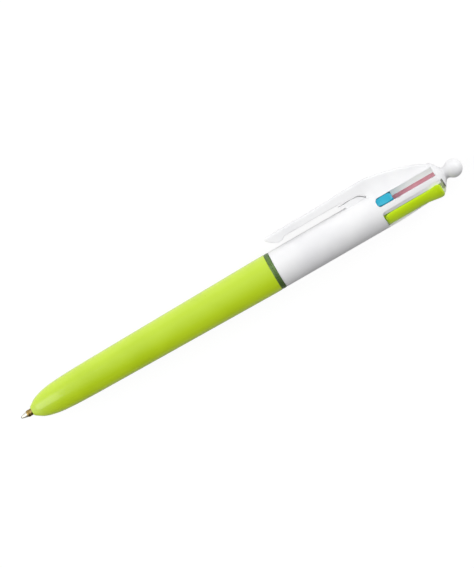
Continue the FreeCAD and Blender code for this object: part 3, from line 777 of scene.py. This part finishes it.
canopy = CANOPY_END - BEND
drop = CLIP_TOP - CLIP_SLOT_TOP
crest_line = line([(CLIP_FRONT, CLIP_TOP - 1.3), (CLIP_FRONT + 0.4, CLIP_TOP - 0.85),
                   (CLIP_FRONT + 1.4, CLIP_TOP - 0.6), (CLIP_FRONT + 12, CLIP_TOP - 0.5),
                   (BEND - 13, CLIP_TOP - 0.4), (BEND - 8, CLIP_TOP - 0.12), (BEND, CLIP_TOP)]
                  + [(BEND + share * canopy, CLIP_TOP - fallen * drop) for share, fallen in (
                      (0.15, 0.05), (0.3, 0.125), (0.45, 0.24), (0.6, 0.36), (0.72, 0.48),
                      (0.84, 0.61), (0.95, 0.79), (1, 0.86))])
crest_half = line([(CLIP_FRONT, 1.45), (CLIP_FRONT + 0.4, 1.85), (CLIP_FRONT + 1.4, 2.1),
                   (CLIP_FRONT + 12, 2.2), (BEND - 13, 2.35), (BEND - 8, 2.45), (BEND, 2.6),
                   (BEND + 0.45 * canopy, 2.57), (BEND + 0.72 * canopy, 2.47),
                   (BEND + 0.84 * canopy, 2.39), (BEND + 0.95 * canopy, 2.16), (CANOPY_END, 2.0)])
foot_half = line([(HEEL_X, 2.6), (BEND + 0.4, 3.1), (BEND + 1.6, 3.85),
                  (BEND + 0.15 * canopy, 4.25), (BEND + 0.3 * canopy, 4.2),
                  (BEND + 0.45 * canopy, 4.06), (BEND + 0.6 * canopy, 3.8),
                  (BEND + 0.72 * canopy, 3.58), (BEND + 0.84 * canopy, 3.44),
                  (BEND + 0.95 * canopy, 3.22), (CANOPY_END, 3.08)])
underside = line([(CLIP_FRONT, 9.0), (CLIP_FRONT + 0.8, 8.2), (CLIP_FRONT + 1.7, 7.55),
                  (CLIP_FRONT + 3.0, 6.86), (CLIP_FRONT + 4.0, 6.76), (CLIP_FRONT + 4.8, 6.86),
                  (CLIP_FRONT + 5.6, 7.35), (CLIP_FRONT + 6.2, UNDERSIDE),
                  (CLIP_FRONT + 8, UNDERSIDE), (CLIP_FRONT + 23, UNDERSIDE),
                  (BEND - 8.6, UNDERSIDE - 0.15), (BEND - 7.4, 7.08), (BEND - 3.32, 7.0),
                  (BEND - 2.1, 6.72), (BEND - 1.25, 6.15), (HEEL_X, 5.8)], 6)
barrel_line = [(UPPER_FRONT, UPPER_R), (TAPER_X, UPPER_R), (HEAD_END, HEAD_R)]
print("canopy", round(canopy, 2), "mm long, falls", round(drop, 2), "mm")

# %% One section of the clip
LOWER_ROUND = 0.3
CLIP_STEP = 0.35          # distance between sections


def bend_over(start, corner, end, steps):
    """Points after start on a soft corner, up to and with end."""
    return [tuple((1 - t) ** 2 * Vector(start) + 2 * t * (1 - t) * Vector(corner)
                  + t ** 2 * Vector(end)) for t in [(i + 1) / steps for i in range(steps)]]


def clip_section(x):
    """Ring of points across the clip at station x."""
    crest = min(along_line(crest_line, x), CLIP_TOP - CREST_CLEAR)
    half = along_line(crest_half, x)
    radius = along_line(barrel_line, x) - SUNK
    standing = x > HEEL_X
    if standing:
        foot = along_line(foot_half, x)
        foot = min(foot, math.sqrt(radius ** 2 - CLIP_SLOT_TOP ** 2))
        base = math.sqrt(radius ** 2 - foot ** 2)
        floor = [(foot * i / 6, math.sqrt(radius ** 2 - (foot * i / 6) ** 2)) for i in range(6)]
        corner = [(foot, base), (foot, base), (foot, base)]
        start, control = (foot, base), (half + 0.12 * (foot - half), base + 0.4 * (crest - base))
    else:
        base = along_line(underside, x)
        tuck = min(LOWER_ROUND, 0.4 * (crest - base))
        floor = [((half - tuck) * i / 6, base) for i in range(6)]
        corner = [(half - tuck, base)] + bend_over((half - tuck, base), (half, base),
                                                   (half, base + tuck), 2)
        start, control = (half, base + tuck), (half, base + tuck + 0.3)
    soft = min(CLIP_ROUND, 0.45 * (crest - start[1]) if standing else 0.55 * (crest - base))
    shoulder = (half, crest - soft)
    if not standing:
        control = tuple((Vector(start) + Vector(shoulder)) / 2)
    sides = bend_over(start, control, shoulder, 6)
    turned = bend_over(shoulder, (half, crest), (half - soft, crest), 6)
    top = [((half - soft) * (2 - i) / 3, crest) for i in range(2)]
    right_half = floor + corner + sides + turned + top
    left_half = [(-y, z) for y, z in reversed(right_half[1:])]
    ring = right_half + [(0, crest)] + left_half
    return [(x, y, z) for y, z in ring]


stations = [CLIP_FRONT + 0.05 * i for i in range(8)]
x = CLIP_FRONT + 0.5
while x < HEEL_X - 0.05:
    stations.append(x)
    x += CLIP_STEP
stations += [HEEL_X, HEEL_X + 0.03]
x = HEEL_X + 0.3
while x < CANOPY_END - 0.1:
    stations.append(x)
    x += CLIP_STEP
stations.append(CANOPY_END)
shape = bmesh.new()
loft(shape, [clip_section(x) for x in stations])
bmesh.ops.remove_doubles(shape, verts=shape.verts, dist=TOUCHING)
clip = piece("clip_moulding", shape, None, "white_shell", ["clip_arm", "clip_root"])
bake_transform(clip)

# %% [markdown]
# ## Thumb sliders
# Each slider lies in its own quarter between the ribs: a core under the ribs, a pad that
# stands up between them, and a knob at its rear for the thumb. The pad's edges are well
# rounded, so light rolls over them. The section is drawn once in one quarter and
# mirrored into the slider's own quarter, which is read from its CAD node. The two beside
# the clip are cut flat, because the canopy reaches over them.

# %% Slider section
SLIDER_LENGTH = 18.7
CORE_R = 3.4              # the core under a lower slider's pad, clear of the bevels
CLIP_CORE_R = 4.0         # and under one beside the clip
CORE_CLEAR = 0.65         # gap to the pen's level and upright middle planes
PAD_TOP = CLIP_SLOT_TOP - 0.15
SADDLE_R = 5.15
KNOB_R = 5.82
SLIDER_FRONT = SLIDER_BACK - SLIDER_LENGTH
pad_line = smooth([(SLIDER_FRONT, SADDLE_R - 0.5), (SLIDER_FRONT + 0.25, SADDLE_R - 0.16),
                   (SLIDER_FRONT + 0.9, SADDLE_R), (SLIDER_FRONT + 3, SADDLE_R),
                   (SLIDER_BACK - 7.5, SADDLE_R), (SLIDER_BACK - 5.8, SADDLE_R + 0.04),
                   (SLIDER_BACK - 4.5, SADDLE_R + 0.2), (SLIDER_BACK - 2.8, KNOB_R - 0.2),
                   (SLIDER_BACK - 1.3, KNOB_R), (SLIDER_BACK - 0.4, KNOB_R - 0.1),
                   (SLIDER_BACK, KNOB_R - 0.42)], 4)
# Distance from the rib's middle plane, and rounding, at each station. A lower slider's
# saddle stays beside the rib's bevel, and its knob hangs over the bevel
FLANK_SIDE = 1.84
FLANK_R = 5.28
rib_side = [(SLIDER_FRONT, FLANK_SIDE), (SLIDER_BACK - 4.8, FLANK_SIDE),
            (SLIDER_BACK - 2.0, 1.4)]
rib_round = [(SLIDER_FRONT, 0.7), (SLIDER_BACK - 5.5, 0.7), (SLIDER_BACK - 2.0, 0.35)]
clip_rib_side = [(SLIDER_FRONT, 1.3), (SLIDER_BACK - 5.5, 1.3), (SLIDER_BACK - 2.0, 0.97)]
clip_rib_round = [(SLIDER_FRONT, 0.6), (SLIDER_BACK - 5.5, 0.5), (SLIDER_BACK - 2.0, 0.35)]
LOWER_SIDE = 0.98         # distance of a lower slider from the bottom rib's middle plane
LOWER_SOFT = 0.22
FRONT_ROUND = 2.6         # length of the rounding in plan at each end
BACK_ROUND = 1.3


def on_circle(radius, start, end, steps):
    """Points on a circle about the pen's axis between two angles, with both ends."""
    turns = [start + (end - start) * i / steps for i in range(steps + 1)]
    return [(radius * math.cos(t), radius * math.sin(t)) for t in turns]


def shortened(corner, other, length):
    """Point on the way from a corner to another point, at most 0.8 of that way."""
    way = Vector(other) - Vector(corner)
    return tuple(Vector(corner) + way * min(0.8, length / max(0.01, way.length)))


def quarter_round(share):
    """One at an end, falling to nothing along a quarter circle."""
    return 1 - math.sqrt(1 - (1 - min(1.0, max(0.0, share))) ** 2)


def slider_section(x, under_canopy):
    """Ring of (y, z) points across a slider at station x, in the quarter y > 0, z > 0."""
    radius = along_line(pad_line, x)
    front = quarter_round((x - SLIDER_FRONT) / FRONT_ROUND)
    back = quarter_round((SLIDER_BACK - x) / BACK_ROUND)
    narrowed = 0.9 * front + 1.1 * back
    top = along_line(clip_rib_side if under_canopy else rib_side, x) + narrowed
    flank = top if under_canopy else FLANK_SIDE + narrowed
    first = along_line(clip_rib_round if under_canopy else rib_round, x)
    core = CLIP_CORE_R if under_canopy else CORE_R
    core_in = math.asin(CORE_CLEAR / core)
    if under_canopy:
        high = PAD_TOP - 0.5 * front - 1.0 * back
        leave, last = math.asin(high / radius), math.asin(high / core)
    else:
        high = LOWER_SIDE + 0.5 * front + 0.7 * back
        leave, last = math.acos(high / radius), math.acos(high / core)
    arrive = math.asin(top / radius)
    arc = on_circle(radius, arrive + first / radius, leave - LOWER_SOFT / radius, 12)
    ring = [(CORE_CLEAR, CORE_CLEAR)] + on_circle(core, core_in, math.asin(flank / core), 4)
    under = min(FLANK_R, radius - 0.3)
    ring += on_circle(under, math.asin(flank / under), 0, 1)[:1]
    corner = on_circle(radius, arrive, arrive, 1)[0]
    near = shortened(corner, ring[-1], first)
    ring += [near] + bend_over(near, corner, arc[0], 4) + arc[1:]
    corner = on_circle(radius, leave, leave, 1)[0]
    far = shortened(corner, on_circle(core, last, last, 1)[0], LOWER_SOFT)
    return ring + bend_over(arc[-1], corner, far, 4) + on_circle(core, last,
                                                                 math.pi / 2 - core_in, 5)


# %% Sliders
def stem(shape, x0, x1, radius, lean, shift):
    """Round pin beside the axis, for the refill's end."""
    outline = rounded([(x0, 0, 0), (x0, radius, 0.15), (x1, radius, 0.05), (x1, 0, 0)])
    made = spin(shape, outline, 32)
    bmesh.ops.translate(shape, verts=made, vec=(shift, *lean))


WAITING_NUB = reach("slider_lime")[0].x
stations = [SLIDER_FRONT + d for d in (0, 0.06, 0.15, 0.28, 0.45, 0.7, 1.0)]
stations += [SLIDER_FRONT + 1.5 + i * (SLIDER_LENGTH - 7) / 14 for i in range(15)]
stations += [SLIDER_BACK - d for d in (5.0, 4.5, 4.0, 3.5, 3.0, 2.6, 2.2, 1.8, 1.4, 1.0, 0.7,
                                       0.45, 0.28, 0.15, 0.06, 0)]
SOCKET_R = 2.9            # distance of the refill's end from the axis
STEM_R = 1.4
NUB_R = 0.72
NUB_LENGTH = 4.5
for colour in ("turquoise", "lime", "pink", "purple"):
    low, high = reach("slider_" + colour)
    quarter = (math.copysign(1, low.y + high.y), math.copysign(1, low.z + high.z))
    shift = low.x - WAITING_NUB
    shape = bmesh.new()
    loft(shape, [[(x + shift, y * quarter[0], z * quarter[1])
                  for y, z in slider_section(x, quarter[1] > 0)] for x in stations])
    lean = (SOCKET_R * math.sqrt(0.5) * quarter[0], SOCKET_R * math.sqrt(0.5) * quarter[1])
    stem(shape, WAITING_NUB + NUB_LENGTH - 0.5, SLIDER_FRONT + 0.5, STEM_R, lean, shift)
    stem(shape, WAITING_NUB, WAITING_NUB + NUB_LENGTH, NUB_R, lean, shift)
    piece("slider_pad_" + colour, shape, "slider_" + colour, colour + "_plastic",
          ["slider_" + colour], sharp=50)

# %% [markdown]
# ## Bevels beside the sliders and walls behind them
# The side ribs slope down to the two lower sliders, and behind every slider the slot ends
# in a wall. The CAD leaves both out, because they only soften what the eye sees. Each
# bevel is a slim wedge lofted along the rib. The wall is one spun shape that lies well
# under the head's surface, so a recess stays dark behind a lower slider. Beside the clip
# the wall is filled up to the surface.

# %% Bevels of the side ribs
SLOT_FRONT = SLIDER_FRONT - 0.15
RIB_HALF = 0.88
BEVEL_REACH = 1.72        # distance of the bevel's foot from the rib's middle plane
BEVEL_FOOT_R = 4.95
BEVEL_SUNK = 0.1          # how deep it starts under the rib's skin
TRACK_R = 4.3             # it reaches in to the track that the slider runs on
for far in (-1, 1):
    shape = bmesh.new()
    rings = []
    for i in range(41):
        x = SLOT_FRONT + (SLIDER_BACK + 0.6 - SLOT_FRONT) * i / 40
        skin_r = along_line(barrel_line, x) - BEVEL_SUNK
        corners = [(RIB_HALF - 0.06, skin_r), (BEVEL_REACH, BEVEL_FOOT_R),
                   (BEVEL_REACH - 0.1, BEVEL_FOOT_R - 0.15), (BEVEL_REACH - 0.1, TRACK_R),
                   (RIB_HALF - 0.06, TRACK_R)]
        rings.append([(x, far * math.sqrt(radius ** 2 - aside ** 2), -aside)
                      for aside, radius in corners])
    loft(shape, rings)
    piece("rib_bevel_" + ("far" if far > 0 else "near"), shape, "upper_barrel", "white_shell")

# %% Walls behind the sliders
CONE_END_R = 2.2
WALL_FRONT = SLIDER_BACK + 0.15
WALL_BACK = 138.05
WALL_R = 3.0
WALL_LOW, WALL_HIGH = 0.8, 3.7     # reach of the wall beside the clip, from the level plane
STEEPEST = 0.96                    # sine that its upper end may come to


def head_at(x, under):
    """Radius of the cone at station x, less a depth under its skin."""
    return along_line([(HEAD_END, HEAD_R), (CONE_END, CONE_END_R)], x) - under


shape = bmesh.new()
spin(shape, rounded([
    (WALL_FRONT, 2.9, 0), (WALL_FRONT, 3.4, 0.2), (HEAD_END, head_at(HEAD_END, 1.5), 0.15),
    (WALL_BACK, head_at(WALL_BACK, 0.9), 0.1), (138.3, 2.3, 0), (WALL_FRONT, 2.9, 0)], 4))
piece("slot_end_wall", shape, "upper_barrel", "white_shell")
for far in (-1, 1):
    shape = bmesh.new()
    rings = []
    for i in range(9):
        x = WALL_FRONT + 0.03 + (WALL_BACK - WALL_FRONT) * i / 8
        radius = head_at(max(x, HEAD_END), 0.04)
        lowest = math.asin(WALL_LOW / radius)
        highest = math.asin(min(STEEPEST, WALL_HIGH / radius))
        ring = on_circle(radius, lowest, highest, 6) + on_circle(WALL_R, highest, lowest, 3)
        rings.append([(x, far * y, z) for y, z in ring])
    loft(shape, rings)
    piece("clip_slot_end_" + ("far" if far > 0 else "near"), shape, "upper_barrel",
          "white_shell")

# %% [markdown]
# ## Ball at the end
# The finial is a small ball on a short neck. The neck flares into the cone's end and into
# the ball, so there is no hard line between them, and one spun outline holds all of it.

# %% Finial
NECK_R = 1.82
SPIGOT_R = 1.0            # pin that holds the finial in the cone
BALL_FROM = 50            # degrees from the axis where the neck runs into the ball
centre = BALL_END - BALL_R
spigot_end = reach("ball_finial")[0].x
ball = [(centre - BALL_R * math.cos(t), BALL_R * math.sin(t))
        for t in [math.radians(BALL_FROM + (180 - BALL_FROM) * i / 24) for i in range(25)]]
shape = bmesh.new()
spin(shape, [(spigot_end, 0), (spigot_end, SPIGOT_R), (CONE_END, SPIGOT_R)]
     + smooth([(CONE_END, NECK_R + 0.4), (CONE_END + 0.3, NECK_R + 0.08),
               (centre - BALL_R * 0.87, NECK_R), ball[0]], 5)[:-1] + ball[:-1]
     + [(BALL_END, 0)], 64)
piece("end_ball", shape, "upper_barrel", "white_shell", ["ball_finial"], sharp=60)

# %% [markdown]
# ## Points
# The steel point is turned in one clamping: a fine collar round the ball, a cone with a
# small step, and a plug in the brass. The brass holder has a rounded shoulder and a
# shallow groove. Each refill leans a little, so its axis is read from its CAD nodes, and
# the spun shapes are turned onto it.

# %% Points and holders
TIP_AHEAD = 0.35          # how far in front of the writing ball's middle the tip is drawn


def middle_of(node):
    """Middle of a node's vertices, upright and in millimetres."""
    total = Vector()
    for vert in nodes[node].data.vertices:
        total += UPRIGHT @ vert.co
    return total / len(nodes[node].data.vertices)


def on_refill(shape, colour):
    """Turn a shape drawn along X from the tip onto the refill of that colour."""
    tip = middle_of("writing_ball_" + colour)
    way = (middle_of("refill_tube_" + colour) - tip).normalized()
    turn = Vector((1, 0, 0)).rotation_difference(way).to_matrix().to_4x4()
    start = tip - way * TIP_AHEAD
    bmesh.ops.transform(shape, matrix=Matrix.Translation(start) @ turn, verts=shape.verts)


for colour in ("turquoise", "lime", "pink", "purple"):
    shape = bmesh.new()
    spin(shape, rounded([
        (0.33, 0, 0), (0.33, 0.30, 0), (0.30, 0.40, 0.04), (0.62, 0.44, 0.05), (0.70, 0.50, 0.04),
        (1.90, 0.84, 0.08), (2.06, 0.85, 0.04), (3.56, 0.85, 0.05), (3.56, 0, 0)], 3), 48)
    on_refill(shape, colour)
    piece("turned_point_" + colour, shape, "refill_" + colour, "point_steel",
          ["point_cone_" + colour])
    shape = bmesh.new()
    spin(shape, rounded([
        (3.6, 0, 0), (3.6, 0.87, 0), (2.06, 0.87, 0.02), (2.09, 0.93, 0.05), (2.42, 1.05, 0.15),
        (2.95, 1.05, 0.03), (3.03, 1.0, 0.03), (3.13, 1.0, 0.03), (3.21, 1.05, 0.03),
        (11.06, 1.05, 0.05), (11.06, 0.87, 0.03), (16.06, 0.87, 0.1), (16.06, 0, 0)], 3), 48)
    on_refill(shape, colour)
    piece("brass_holder_" + colour, shape, "refill_" + colour, "tip_brass",
          ["tip_holder_" + colour])

# %% [markdown]
# ## Springs
# A stored slider is held back by its own spring. The coil is a ring of eight points, spun
# eleven times while it climbs along the refill, so it stays an even helix. It rides on the
# refill and flattens towards the slider's shoulder, so its front end stays on the spring
# seat. The pushed slider's spring is short at rest and would have to grow, which a piece
# can't do, so it stays a CAD node.

# %% Springs of the stored sliders
WIRE_R = 0.125
SPRING_MEAN_R = 1.36
SPRING_TURNS = 11
COIL_CUTS = 36            # steps in one turn of the coil
for colour in ("lime", "pink", "purple"):
    tip = middle_of("writing_ball_" + colour)
    way = (middle_of("refill_tube_" + colour) - tip).normalized()
    along_axis = [(UPRIGHT @ v.co - tip).dot(way) for v in nodes["spring_" + colour].data.vertices]
    front, back = min(along_axis) + WIRE_R, max(along_axis) - WIRE_R
    shape = bmesh.new()
    loop = [shape.verts.new((front + TIP_AHEAD + WIRE_R * math.cos(t), 0,
                             SPRING_MEAN_R + WIRE_R * math.sin(t)))
            for t in [math.radians(45 * i) for i in range(8)]]
    edges = [shape.edges.new(pair) for pair in zip(loop, loop[1:] + loop[:1])]
    steps = SPRING_TURNS * COIL_CUTS
    bmesh.ops.spin(shape, geom=loop + edges, cent=(0, 0, 0), axis=(1, 0, 0),
                   dvec=((back - front) / steps, 0, 0), angle=2 * math.pi * SPRING_TURNS,
                   steps=steps)
    bmesh.ops.holes_fill(shape, edges=[e for e in shape.edges if e.is_boundary], sides=8)
    on_refill(shape, colour)
    coil = piece("coil_spring_" + colour, shape, "refill_" + colour, "spring_steel",
                 ["spring_" + colour], sharp=60)
    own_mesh(coil)
    print("spring", colour, round(back - front, 2), "mm long")
